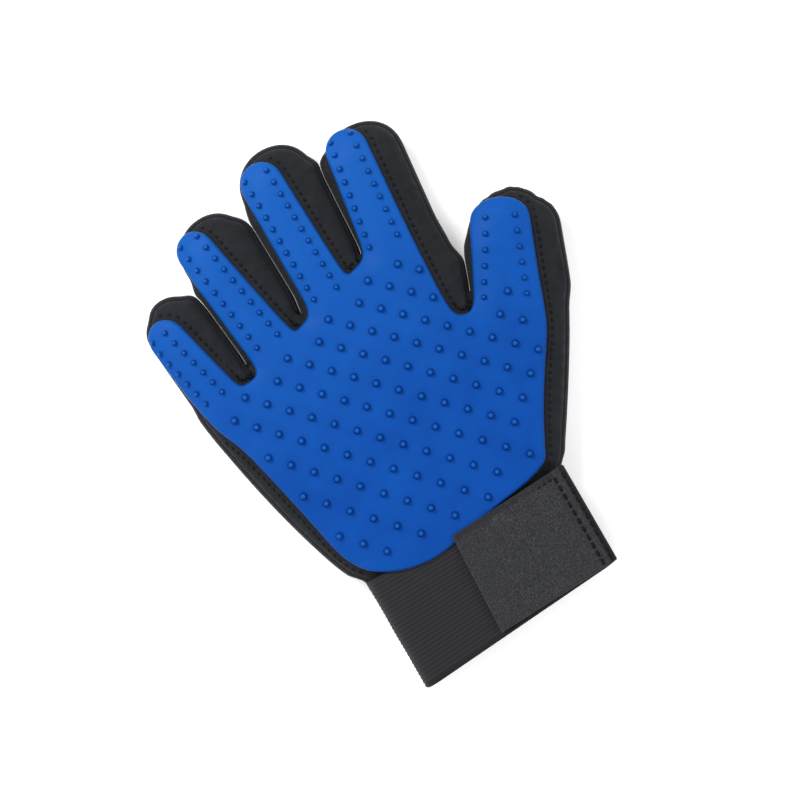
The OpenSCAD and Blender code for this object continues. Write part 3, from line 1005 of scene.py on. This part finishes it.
def nub_places():
    """(centre, base radius, height) of every nub, from the flat tops in the CAD model."""
    found = []
    for node in ["palm_pad"] + [f + s for f in FINGERS for s in ("_base_pad", "_tip_pad")]:
        points = np.array([v.co for v in frame["nodes"][node].data.vertices]) / MM
        above = points[points[:, 2] > SHELL_TOP + PAD_T + 0.5]
        for level in sorted(set(np.round(above[:, 2], 1))):
            groups = []
            for p in above[np.abs(above[:, 2] - level) < 0.02][:, :2]:
                for group in groups:
                    if np.linalg.norm(p - group[0]) < NUB_TOP_WIDE:
                        group.append(p)
                        break
                else:
                    groups.append([p])
            for group in groups:
                spread = np.array(group)
                centre = (spread.min(0) + spread.max(0)) / 2
                radius = np.linalg.norm(spread - centre, axis=1).max() / NUB_TOP_SHARE
                found.append((centre, radius, level - SHELL_TOP - PAD_T))
    return found


def pad_lift(d):
    """Height of the sheet's rounded edge above the fabric, at a distance inside its outline."""
    t = np.clip(d / PAD_ROUND, 0, 1)
    return PAD_T * np.sqrt(1 - (1 - t) ** 2) ** 0.8


def clear_of_rim(centres, radii):
    """Nub centres moved inwards, so that the sheet's rim stays whole outside each nub."""
    for _ in range(3):
        short = np.clip(radii * NUB_PROFILE[0][0] + NUB_RIM - distance(centres, PAD_EDGE), 0, 0.5)
        away = growth(lambda points: distance(points, PAD_EDGE), centres, 0.2)
        centres = centres + away * short[:, None]
    return centres


def fitted_nubs():
    """The centres, base radii and heights of the nubs, clear of the sheet's rim."""
    nubs = nub_places()
    radii = np.array([r * NUB_SLIM for _, r, _ in nubs])
    centres = clear_of_rim(np.array([c for c, _, _ in nubs]), radii)
    room = distance(centres, PAD_EDGE) / NUB_PROFILE[0][0] - NUB_EDGE_ROOM
    return centres, np.minimum(radii, room), [tall for _, _, tall in nubs]


def slope_lean(points):
    """Which way the sheet's thickness and its nubs point: between straight up and square to the sheet."""
    lean = tilt(points, PAD_DRAPE) + [0, 0, 0.9]
    return lean / np.linalg.norm(lean, axis=1)[:, None]


def outside_nubs(points, centres, radii, spare):
    """The points that are further than a spare distance from the foot of every nub."""
    kept = np.ones(len(points), bool)
    for c, r in zip(centres, radii):
        kept &= np.sum((points - c) ** 2, axis=1) > (r * NUB_PROFILE[0][0] + spare) ** 2
    return points[kept]


def pad_plan(centres, radii):
    """The flat sheet between the nubs: its points, first the rim and the nubs' feet, and its triangles."""
    border = len(PAD_LOOP)
    feet = np.vstack([c + NUB_CIRCLE * r * NUB_PROFILE[0][0] for c, r in zip(centres, radii)])
    rings = inner_rings(PAD_LOOP, PAD_RINGS[1:], True, lambda points: distance(points, PAD_EDGE))
    rings = outside_nubs(rings[inside(rings, PAD_LOOP)], centres, radii, 0.25)
    grid = hex_grid(PAD_LOOP.min(0), PAD_LOOP.max(0), PAD_GRID)
    grid = grid[inside(grid, PAD_LOOP)]
    grid = grid[distance(grid, PAD_EDGE) > PAD_RINGS[-1] + 0.8]
    grid = outside_nubs(grid, centres, radii, 0.7)
    flat = np.vstack([PAD_LOOP, feet, rings, grid])
    edges = [(i, (i + 1) % border) for i in range(border)]
    for first in range(border, border + len(feet), NUB_SIDES):
        edges += [(first + i, first + (i + 1) % NUB_SIDES) for i in range(NUB_SIDES)]
    triangles = triangulate(flat, edges)
    owner = np.full(len(flat), -1)
    owner[border:border + len(feet)] = np.repeat(np.arange(len(centres)), NUB_SIDES)
    owners = owner[triangles]
    in_nub = (owners[:, 0] >= 0) & (owners == owners[:, :1]).all(1)
    return flat, triangles[~in_nub]


def with_nubs(flat, triangles, centres, radii, heights):
    """The sheet with its nubs added: each point's plan, its height above the fabric and its mask, and
    the triangles with the segment that each belongs to."""
    border = len(PAD_LOOP)
    part = segments(flat[triangles].mean(1)).tolist()
    triangles = triangles.tolist()
    lift = pad_lift(distance(flat, PAD_EDGE))
    lift[:border] = 0
    # The mask is 1 at the sheet's rounded rim, for a painted highlight along it.
    plan, rise, mask = [flat], [lift], [1 - smoothstep(lift, 0.5 * PAD_T, 0.97 * PAD_T)]
    nub_part = segments(centres)
    count = len(flat)
    for k, (centre, radius, tall) in enumerate(zip(centres, radii, heights)):
        last = [border + k * NUB_SIDES + i for i in range(NUB_SIDES)]
        for share, height in NUB_PROFILE[1:]:
            ring = [count + i for i in range(NUB_SIDES)]
            plan.append(centre + NUB_CIRCLE * radius * share)
            rise.append(np.full(NUB_SIDES, PAD_T + height * tall))
            # A nub's lower rings take the mask for painted shade, and its top rings a paler one.
            mask.append(np.full(NUB_SIDES, NUB_SHADE if height < NUB_PALE_FROM else height * 0.8))
            for i in range(NUB_SIDES):
                j = (i + 1) % NUB_SIDES
                triangles += [[last[i], last[j], ring[i]], [last[j], ring[j], ring[i]]]
                part += [nub_part[k]] * 2
            last = ring
            count += NUB_SIDES
        plan.append(centre[None, :])
        rise.append(np.array([PAD_T + tall]))
        mask.append(np.array([0.85]))
        for i in range(NUB_SIDES):
            triangles.append([last[i], last[(i + 1) % NUB_SIDES], count])
            part.append(nub_part[k])
        count += 1
    return np.vstack(plan), np.concatenate(rise), np.concatenate(mask), np.array(triangles), np.array(part)


def pad_sides(plan, rise, first, centres):
    """The pad's outer and inner points. The nubs start at a first point, and each stands square to the
    sheet at its own spot."""
    ground = front_height(plan, None, PAD_DRAPE)
    ground = np.where(plan[:, 1] < WRIST_Y + 8, np.maximum(ground, SHELL_TOP + 0.05), ground)
    lean = slope_lean(plan)
    rooted = np.column_stack([plan, ground])
    outer = rooted + lean * (rise + PAD_LIFT)[:, None]
    per_nub = (len(plan) - first) // len(centres)
    mine = np.repeat(np.arange(len(centres)), per_nub)
    tips = np.arange(first + per_nub - 1, len(plan), per_nub)
    axis = lean[tips][mine]
    across = np.column_stack([plan[first:] - centres[mine], np.zeros(len(mine))])
    across -= axis * np.sum(across * axis, axis=1)[:, None]
    upright = rooted[tips][mine] + across + axis * (rise[first:] + PAD_LIFT)[:, None]
    share = np.clip((rise[first:] - PAD_T) / 1.1, 0, 1)[:, None]
    outer[first:] += (upright - outer[first:]) * share
    inner = rooted - lean * PAD_SUNK
    inner[:len(PAD_LOOP)] = outer[:len(PAD_LOOP)]
    return outer, inner


def build_pad():
    """The rubber sheet with its nubs: a piece on the palm and two on each finger."""
    centres, radii, heights = fitted_nubs()
    flat, triangles = pad_plan(centres, radii)
    plan, rise, mask, triangles, part = with_nubs(flat, triangles, centres, radii, heights)
    outer, inner = pad_sides(plan, rise, len(flat), centres)
    normals = vertex_normals(outer, triangles)
    weave = np.column_stack([plan, np.zeros(len(plan))])
    for number in sorted(set(part)):
        finger, where, stem = segment_name(number)
        thing = make_piece(stem + "_rubber_pad", triangles[part == number].tolist(), outer, inner, normals,
                           weave, mask, RUBBER)
        follow(thing, where)
        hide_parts(stem + "_pad")


# ---------------------------------------------------------------- stitches


def tube_faces(start, stations, sides):
    """Faces of a closed tube, made of rings of points that are numbered on from a first one."""
    faces = []
    for s in range(stations - 1):
        for k in range(sides):
            j = (k + 1) % sides
            a, b = start + s * sides, start + (s + 1) * sides
            faces.append((a + k, a + j, b + j, b + k))
    faces.append(tuple(start + k for k in reversed(range(sides))))
    faces.append(tuple(start + (stations - 1) * sides + k for k in range(sides)))
    return faces


def stitch_mesh(name, stitches):
    """Thread stitches as small bowed capsules: each is (centre, direction, normal, length, radius)."""
    coords, faces = [], []
    for centre, ahead, up, length, radius in stitches:
        ahead = ahead / np.linalg.norm(ahead)
        across = np.cross(up, ahead)
        across /= np.linalg.norm(across)
        up = np.cross(ahead, across)
        faces += tube_faces(len(coords), STITCH_STATIONS, STITCH_SIDES)
        for s in range(STITCH_STATIONS):
            t = 2 * (s + 0.5) / STITCH_STATIONS - 1
            girth = radius * math.sqrt(1 - t * t) ** 0.6
            spine = centre + ahead * (t * length / 2) - up * (t * t * radius * 1.3)
            for k in range(STITCH_SIDES):
                a = 2 * math.pi * k / STITCH_SIDES
                coords.append(spine + (across * math.cos(a) + up * math.sin(a)) * girth)
    thing = add_object(name, coords, faces, THREAD)
    return thing


def build_pad_stitches():
    """The row of stitches in the fabric just outside the pad's edge."""
    loop = resample(PAD_LOOP, ROW_PITCH, True)
    outward = -left_normals(loop, True)
    places = loop + outward * ROW_OUT
    ahead = np.stack([outward[:, 1], -outward[:, 0]], axis=1)
    good = inside(places, LONG_SIDES) & (distance(places, LONG_SIDES) > 3.2)
    good &= (distance(places, PAD_EDGE) > ROW_OUT - 0.3) & (places[:, 1] > WRIST_Y + 3)
    places, ahead = places[good], ahead[good]
    height = front_height(places)
    height += wrinkles(places, distance(places, LONG_SIDES), distance(places, PAD_EDGE))
    up = tilt(places)
    part = segments(places)
    for number in sorted(set(part)):
        finger, where, stem = segment_name(number)
        chosen = [
            (np.array([*places[i], height[i] + 0.2]), np.array([*ahead[i], 0]), up[i], *ROW_STITCH)
            for i in np.where(part == number)[0]
        ]
        thing = stitch_mesh(stem + "_pad_stitches", chosen)
        follow(thing, where)
        if finger is None:
            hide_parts("palm_stitching")


# ---------------------------------------------------------------- cuff and strap


def slanted(points, node):
    """Points of a straight band, moved so that its edges follow the CAD node's slanted ones."""
    plan = np.array([v.co for v in frame["nodes"][node].data.vertices])[:, :2] / MM
    ways = np.array([[-1, -1], [1, -1], [1, 1], [-1, 1]])
    low_left, low_right, high_right, high_left = plan[np.argmax(plan @ ways.T, axis=0)]
    low, high = box(node)
    moved = np.array(points)
    share = (moved[:, 1] - low[1]) / (high[1] - low[1])
    left = low_left[0] + (high_left[0] - low_left[0]) * share - low[0]
    moved[:, 0] += left * np.clip((high[0] - moved[:, 0]) / (high[0] - low[0]), 0, 1)

    def edge(a, b):
        """Height of the edge from corner a to corner b, at each point."""
        return a[1] + (b[1] - a[1]) * (moved[:, 0] - a[0]) / (b[0] - a[0])

    bottom = edge(low_left, low_right)
    moved[:, 1] = bottom + (edge(high_left, high_right) - bottom) * share
    return moved


def grid_faces(columns, rows, wrap):
    """Four-sided faces of a grid of points, row after row; wrap joins the last column to the first."""
    faces = []
    for r in range(rows - 1):
        for c in range(columns if wrap else columns - 1):
            d = (c + 1) % columns
            faces.append((r * columns + c, r * columns + d, (r + 1) * columns + d, (r + 1) * columns + c))
    return faces


def swept(name, node, rows, run, line_at, wrap, material):
    """A band swept along y and slanted as the CAD node is. line_at(y) gives its outer and its inner
    line as points (x, z), and their mask; run is how far along the line each point is."""
    outer, inner, masks, weave = [], [], [], []
    for y in rows:
        out, into, mask = line_at(y)
        level = np.full(len(run), y)
        outer.append(np.column_stack([out[:, 0], level, out[:, 1]]))
        inner.append(np.column_stack([into[:, 0], level, into[:, 1]]))
        masks.append(mask)
        weave.append(np.column_stack([run, level, np.zeros(len(run))]))
    outer, inner = slanted(np.vstack(outer), node), slanted(np.vstack(inner), node)
    faces = grid_faces(len(run), len(rows), wrap)
    normals = vertex_normals(outer, faces)
    if (normals * (outer - inner)).sum() < 0:
        faces = [tuple(reversed(f)) for f in faces]
        normals = -normals
    return make_piece(name, faces, outer, inner, normals, np.vstack(weave), np.concatenate(masks), material)


def wrist_section(node, corner, step):
    """Rounded rectangle round the wrist at a CAD node's size, anticlockwise, as points (x, z)."""
    low, high = (end[[0, 2]] for end in box(node))
    centres = ((high[0] - corner, low[1] + corner, -90), (high[0] - corner, high[1] - corner, 0),
               (low[0] + corner, high[1] - corner, 90), (low[0] + corner, low[1] + corner, 180))
    loop = []
    for x, z, start in centres:
        for a in np.radians(np.arange(start, start + 91, 10)):
            loop.append((x + corner * math.cos(a), z + corner * math.sin(a)))
    return resample(np.array(loop), step, True)


def cuff_band(name, node, section, y, outset, thick, steps, mask_of):
    """A tube round the wrist from y[0] to y[1], its outer face set out by outset(y)."""
    normal = -left_normals(section, True)
    count = len(section)
    around = np.arange(count) * np.linalg.norm(section[1] - section[0])

    def line_at(here):
        edge = min(abs(here - y[0]), abs(here - y[1]))
        full = math.sqrt(1 - (1 - min(edge / 1.1, 1)) ** 2)
        wobble = 0.3 * ripple(np.column_stack([around, np.full(count, here)]), 17, 2.2)
        wobble *= np.sin(np.arange(count) * math.pi / count) ** 2
        middle = section + normal * (wobble - thick / 2)[:, None]
        out = middle + normal * ((thick / 2 + outset(here)) * full)
        into = middle - normal * (thick / 2 * full)
        return out, into, np.full(count, mask_of(here))

    thing = swept(name, node, np.linspace(y[0], y[1], steps), around, line_at, True, ELASTIC)
    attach(thing, "palm")
    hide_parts(node)


def build_cuff():
    """Ribbed elastic cuff, and the hem inside its open edge."""
    low, high = box("elastic_cuff")
    ribs = int((high[1] - low[1]) / RIB_PITCH)

    def rib(y):
        return abs(math.sin(math.pi * (y - low[1]) / RIB_PITCH)) ** 0.8

    # The mask paints light on the rib crests, and shade in the grooves between them and along the cuff's
    # open edge.
    def shade(y):
        return rib(y) * smoothstep(y - low[1], 1.2, 2.4)

    cuff_band("elastic_cuff_ribbed", "elastic_cuff", wrist_section("elastic_cuff", 7.0, 1.6),
              (high[1], low[1] - CUFF_OVERHANG), lambda y: 0.3 * rib(y) - 0.2, 1.9, ribs * 7, shade)
    hem_low, hem_high = box("cuff_hem")
    cuff_band("cuff_hem_fold", "cuff_hem", wrist_section("cuff_hem", 5.0, 1.8),
              (hem_high[1], hem_low[1]), lambda y: 0.0, 1.1, 16, lambda y: 0.5)


def sheet_band(name, node, path, thick, dent, material, step=0.8):
    """A flat band that follows a path of points (x, z) over a CAD node's length along y, with rounded
    edges. dent(x, y) gives how far its outer face is pressed in, and a mask."""
    y0, y1 = (end[1] for end in box(node))
    even = np.linspace(y0 + 1.2, y1 - 1.2, int((y1 - y0) / step))
    rows = np.concatenate([y0 + BAND_EDGE, even, y1 - BAND_EDGE[::-1]])
    normal = left_normals(path, False)
    length = np.concatenate([[0], np.cumsum(np.linalg.norm(np.diff(path, axis=0), axis=1))])

    def line_at(y):
        edge = np.minimum(min(y - y0, y1 - y), np.minimum(length, length[-1] - length))
        full = np.sqrt(1 - (1 - np.clip(edge / BAND_ROUND, 0, 1)) ** 2)
        press, mask = dent(path[:, 0], np.full(len(path), y))
        out = path + normal * ((thick / 2 - press) * full)[:, None]
        into = path - normal * (thick / 2 * full)[:, None]
        return out, into, mask

    return swept(name, node, rows, length, line_at, False, material)


def strap_line(low, high, end, top, under):
    """The strap's middle line (x, z): along its top, round the fold and back under the sewn end. Also
    how many of its points are on the top side."""
    turn = (top - under) / 2
    flat_x = np.concatenate([low[0] + BAND_EDGE, np.arange(low[0] + 1.2, end - 1, 0.7), [end - 0.4]])
    layer = np.column_stack([flat_x, np.full(len(flat_x), top)])
    layer[:, 1] += 0.25 * ripple(layer * [1, 0], 14, 4.4) * smoothstep(high[0] - layer[:, 0], 3, 12)
    angles = np.radians(np.arange(90, -91, -15))
    fold = np.column_stack([end + turn * np.cos(angles), top - turn + turn * np.sin(angles)])
    back_x = np.concatenate([np.arange(end - 0.5, STITCH_X + 0.9, -0.6), STITCH_X + BAND_EDGE[::-1]])
    under_layer = np.column_stack([back_x, np.full(len(back_x), under)])
    return np.vstack([layer, fold, under_layer]), len(layer) + len(fold) // 2


def strap_face(x, y, on_top, hem_y, fold_x):
    """How far the strap's face is pressed in by its seams, and its mask: painted shade where it turns round
    its fold, and darker along its hem.
    """
    groove = 0.5 * hump(x, STITCH_X, 0.75) + 0.55 * hump(x, STITCH_OUT_X, 0.6)
    hem = 0.25 * np.exp(-((y - hem_y + STRAP_HEM) / 0.6) ** 2) * smoothstep(x, STITCH_X - 9, STITCH_X - 7)
    soft = 0.12 * ripple(np.column_stack([x, y]), 3.0, 9.1)
    pressed = (groove + hem * (x < STITCH_X) + soft) * on_top
    # Painted shade where the strap's top turns round its fold
    dark = smoothstep(x, fold_x - 2.4, fold_x - 1.4) * on_top
    by_hem = 0.45 * smoothstep(-np.abs(y - hem_y), -3.4, -2.6) * (x < STITCH_X)
    return pressed, np.clip(np.maximum(dark, by_hem), 0, 1)


def peel(thing):
    """Bakes a strap piece's placement into its mesh; it is not bent between the cuff and its free part."""
    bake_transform(thing)


def build_strap():
    """Felt strap, folded and sewn at the thumb side."""
    low, high = box("strap_tab")
    thick = high[2] - low[2]
    top = high[2] - thick / 2
    under = SHELL_TOP + 0.2 + thick / 2
    turn = (top - under) / 2
    end = box("strap_sewn_end")[1][0] - turn - thick / 2
    path, on_top = strap_line(low, high, end, top, under)

    def dent(x, y):
        return strap_face(x, y, np.arange(len(x)) < on_top, high[1], end + turn)

    strap = sheet_band("wrist_strap", "strap_tab", path, thick, dent, FELT)
    peel(strap)
    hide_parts("strap_tab", "strap_sewn_end")


def build_strap_stitches():
    """The strap's two rows of stitches across, and three stitches along its hem."""
    low, high = box("strap_tab")
    surface = high[2] - 0.4

    def stitch(x, y, lift, ahead, length, radius):
        centre = slanted([[x, y, surface + lift]], "strap_tab")[0]
        return centre, np.array(ahead), np.array([0, 0, 1.0]), length, radius

    rows = np.arange(low[1] + 2.6, high[1] - 1.8, 4.1)
    lines = [stitch(x, y, lift, [0.04, 1, 0], 3.1, 0.58)
             for x, lift in ((STITCH_X, 0.5), (STITCH_OUT_X, 0.3)) for y in rows]
    sewn = stitch_mesh("strap_stitches", lines)
    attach(sewn, "palm")
    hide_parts("strap_stitching")
    corner = [stitch(STITCH_X - inset, high[1] - STRAP_HEM, 0.4, [1.0, 0, 0], 2.1, 0.38)
              for inset in (2.2, 5.0, 7.8)]
    peel(stitch_mesh("strap_corner_stitches", corner))


def build_loop_patch():
    """Felted loop tape sewn to the cuff under the strap."""
    low, high = box("loop_patch")
    thick = high[2] - low[2]
    x = np.concatenate([low[0] + BAND_EDGE, np.arange(low[0] + 1.2, high[0] - 1.1, 0.7),
                        high[0] - BAND_EDGE[::-1]])
    path = np.column_stack([x, np.full(len(x), low[2] + thick / 2)])

    def dent(px, py):
        inset = np.minimum(np.minimum(px - low[0], high[0] - px), np.minimum(py - low[1], high[1] - py))
        tufts = 0.22 * ripple(np.column_stack([px, py]), 1.4, 6.3)
        return tufts + 0.3 * hump(inset, 2.0, 0.5), 0.6 * hump(inset, 2.0, 0.4)

    patch = sheet_band("loop_patch_felt", "loop_patch", path, thick, dent, FELT)
    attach(patch, "palm")
    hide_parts("loop_patch")


def build_hook_base():
    """Thin moulded base of the hook tape under the strap."""
    low, high = box("hook_patch")
    edge = np.array([0, 0.12, 0.3])
    x = np.concatenate([low[0] + edge, np.arange(low[0] + 0.8, high[0] - 0.7, 1.4), high[0] - edge[::-1]])
    path = np.column_stack([x, np.full(len(x), high[2] - HOOK_BASE / 2)])

    def plain(px, py):
        return np.zeros(len(px)), np.zeros(len(px))

    plate = sheet_band("hook_patch_base", "hook_patch", path, HOOK_BASE, plain, HOOK, 1.4)
    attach(plate, "strap")
    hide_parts("hook_patch")


def build_hooks():
    """Rows of bent hooks that point down from the hook tape's base."""
    low, high = box("hook_patch")
    root = high[2] - HOOK_BASE
    drop = root - low[2]
    spine = np.array([(0, 0.1), (0, -0.55 * drop), (0.12, -0.9 * drop), (0.34, -0.88 * drop),
                      (0.44, -0.66 * drop)])
    last = len(spine) - 1
    coords, faces = [], []
    for j, y in enumerate(np.arange(low[1] + 1.4, high[1] - 1.2, HOOK_PITCH)):
        way = 1 if j % 2 else -1
        for x in np.arange(low[0] + 1.4, high[0] - 1.2, HOOK_PITCH):
            faces += tube_faces(len(coords), len(spine), HOOK_SIDES)
            for s, (sx, sz) in enumerate(spine):
                ahead = spine[min(s + 1, last)] - spine[max(s - 1, 0)]
                ahead = ahead / np.linalg.norm(ahead)
                thin = HOOK_RADIUS * (1.25 - 0.5 * s / last)
                for k in range(HOOK_SIDES):
                    a = 2 * math.pi * k / HOOK_SIDES
                    side = math.cos(a) * thin
                    coords.append((x + way * (sx - ahead[1] * side), y + math.sin(a) * thin * way,
                                   root + sz + ahead[0] * side))
    hooks = add_object("hook_patch_hooks", slanted(coords, "hook_patch"), faces, HOOK)
    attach(hooks, "strap")


# ---------------------------------------------------------------- floor, light and camera


def build_stage():
    """Pale floor, a broad light from the fingertips' side, and soft white surroundings."""
    mesh = bpy.data.meshes.new("floor")
    reach = 3.0
    mesh.from_pydata([(-reach, -reach, 0), (reach, -reach, 0), (reach, reach, 0), (-reach, reach, 0)], [],
                     [(0, 1, 2, 3)])
    floor = bpy.data.objects.new("floor", mesh)
    bpy.context.scene.collection.objects.link(floor)
    floor.location.z = -0.0004
    look = Look("floor_paper", (0.93, 0.93, 0.93), 0.9, specular=0.1)
    where = look.node("ShaderNodeTexCoord").outputs["Object"]
    look.colour(look.ramp(look.noise(where, 9), [(0.3, (0.925, 0.926, 0.928)), (0.7, (0.94, 0.94, 0.94))]))
    look.shader.inputs["Emission Color"].default_value = (1, 1, 1, 1)
    look.shader.inputs["Emission Strength"].default_value = 0.42
    mesh.materials.append(look.material)

    world = bpy.data.worlds.new("studio")
    bpy.context.scene.world = world
    world.use_nodes = True
    world.node_tree.nodes["Background"].inputs["Color"].default_value = (1, 1, 1, 1)
    world.node_tree.nodes["Background"].inputs["Strength"].default_value = 0.34

    lamp("key", (-0.22, 0.62, 0.72), 0.34, 6.4)
    lamp("fill_thumb_side", (0.8, -0.1, 0.75), 0.9, 4.2)
    lamp("fill_wrist", (-0.2, -0.85, 0.7), 0.9, 3.4)
    lamp("fill_little_side", (-0.85, 0.1, 0.75), 0.9, 3.4)


def lamp(name, place, size, power):
    """A square softbox that points at the glove."""
    data = bpy.data.lights.new(name, "AREA")
    data.size = size
    data.energy = power
    thing = bpy.data.objects.new(name, data)
    thing.location = place
    thing.rotation_mode = "QUATERNION"
    thing.rotation_quaternion = Vector(place).to_track_quat("Z", "Y")
    bpy.context.scene.collection.objects.link(thing)


def build_camera():
    """Straight down on the glove, with the fingers pointing to the upper left of the picture."""
    right, up = Vector((0.866, -0.5, 0)), Vector((0.5, 0.866, 0))
    data = bpy.data.cameras.new("camera")
    data.lens = 135
    data.sensor_width = 36
    camera = bpy.data.objects.new("camera", data)
    height = (VIEW_LEVEL + VIEW_SPAN * data.lens / data.sensor_width) * MM
    axes = Matrix((right, up, Vector((0, 0, 1)))).transposed().to_4x4()
    camera.matrix_world = Matrix.Translation((VIEW_MIDDLE[0] * MM, VIEW_MIDDLE[1] * MM, height)) @ axes
    bpy.context.scene.collection.objects.link(camera)
    bpy.context.scene.camera = camera
    bpy.context.scene.view_settings.view_transform = "Standard"


build_camera()
build_stage()
build_shell()
build_pad()
build_pad_stitches()
build_cuff()
build_strap()
build_strap_stitches()
build_loop_patch()
build_hook_base()
build_hooks()

bpy.context.view_layer.update()
